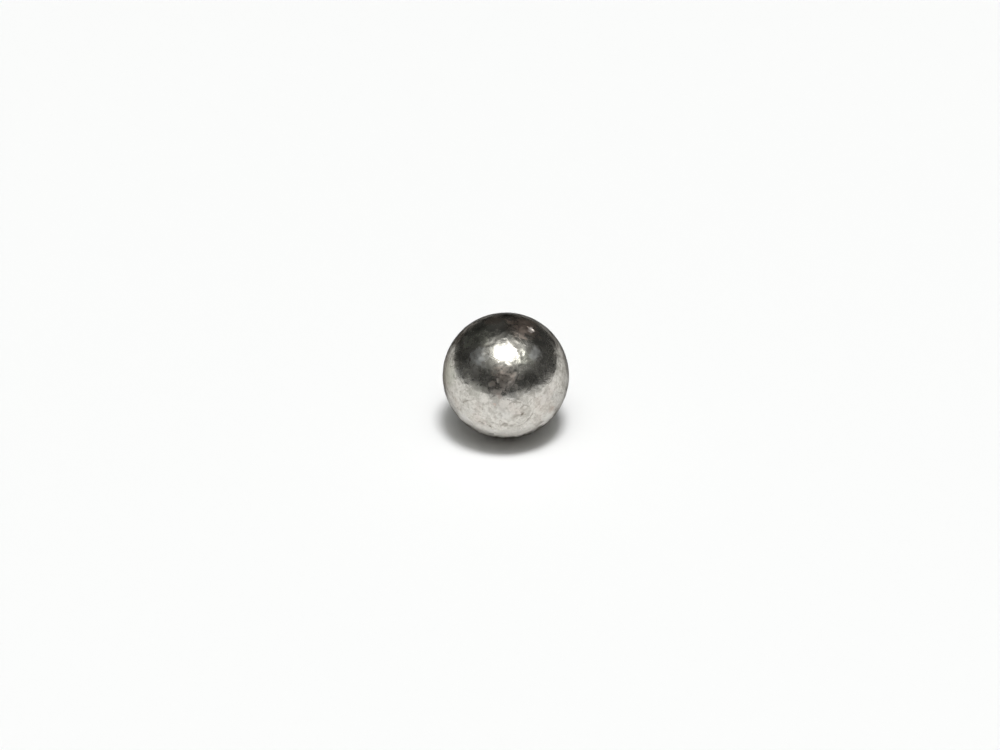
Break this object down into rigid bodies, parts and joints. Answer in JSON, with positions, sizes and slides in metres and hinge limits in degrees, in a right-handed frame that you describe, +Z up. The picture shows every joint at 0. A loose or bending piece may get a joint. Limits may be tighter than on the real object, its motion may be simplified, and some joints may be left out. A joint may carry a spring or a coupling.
{
  "type": "steel ball",
  "caption": "Loose solid steel ball, round all over and lightly worn, that rolls in a race or rests in a cup, cone or socket.",
  "frame": {"origin": "centre of the ball", "axes": "+Z up, as the ball sits on a surface that is half a diameter below the origin; every axis through the centre is the same"},
  "size_m": [0.008, 0.008, 0.008],
  "materials": {
    "ball_steel": "satin"
  },
  "bodies": {
    "root": {"ball": "ball_steel"}
  },
  "joints": []
}
